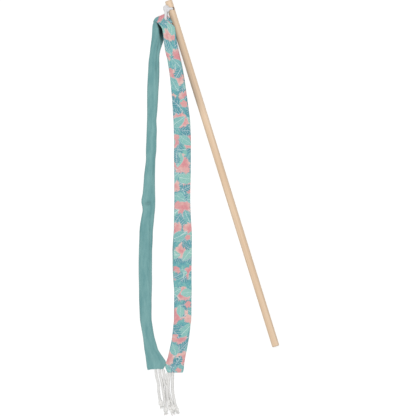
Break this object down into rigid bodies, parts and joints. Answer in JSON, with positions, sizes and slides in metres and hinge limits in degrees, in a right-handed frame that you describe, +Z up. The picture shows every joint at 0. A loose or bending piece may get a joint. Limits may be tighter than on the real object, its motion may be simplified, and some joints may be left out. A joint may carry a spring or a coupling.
{
  "type": "cat teaser wand",
  "caption": "Wooden stick with a folded fabric ribbon hung from its tip on a short cord, the ribbon's ends finished with knotted cord tassels.",
  "frame": {"origin": "centre of the stick's flat butt face, at the end away from the ribbon", "axes": "+Y along the stick from its butt end to its tip, +Z up from the surface that the wand lies on, +X away from the ribbon"},
  "size_m": [0.1471, 0.4423, 0.0124],
  "materials": {
    "wood": "bare sanded dowel",
    "hanger_cord": "twisted cotton cord",
    "tassel_cord": "twisted cotton cord",
    "print_fabric": "printed plain-weave cotton",
    "plain_fabric": "dyed plain-weave cotton"
  },
  "bodies": {
    "stick": {"stick": "wood", "stick_loop": "hanger_cord", "hanger_knot": "hanger_cord"},
    "hanger": {"ribbon_loop": "hanger_cord"},
    "right_leg": {"right_leg_print": "print_fabric", "right_leg_plain": "plain_fabric", "tassel_cord_4": "tassel_cord", "tassel_cord_5": "tassel_cord", "tassel_cord_6": "tassel_cord", "tassel_knot_4": "tassel_cord", "tassel_knot_5": "tassel_cord", "tassel_knot_6": "tassel_cord", "tassel_end_4": "tassel_cord", "tassel_end_5": "tassel_cord", "tassel_end_6": "tassel_cord"},
    "left_leg": {"left_leg_print": "print_fabric", "left_leg_plain": "plain_fabric", "tassel_cord_1": "tassel_cord", "tassel_cord_2": "tassel_cord", "tassel_cord_3": "tassel_cord", "tassel_knot_1": "tassel_cord", "tassel_knot_2": "tassel_cord", "tassel_knot_3": "tassel_cord", "tassel_end_1": "tassel_cord", "tassel_end_2": "tassel_cord", "tassel_end_3": "tassel_cord"}
  },
  "joints": [
    {"name": "hanger_swing", "type": "hinge", "parent": "stick", "child": "hanger", "pos_m": [-0.0047, 0.39252, 0.00532], "axis": [0, 0, -1], "range_deg": [0, 90]},
    {"name": "ribbon_swing", "type": "hinge", "parent": "hanger", "child": "right_leg", "pos_m": [-0.0086, 0.38062, 0], "axis": [0, 0, -1], "range_deg": [0, 20]},
    {"name": "left_leg_swing", "type": "hinge", "parent": "right_leg", "child": "left_leg", "pos_m": [-0.0086, 0.38062, 0], "axis": [0, 0, -1], "range_deg": [0, 25]}
  ]
}
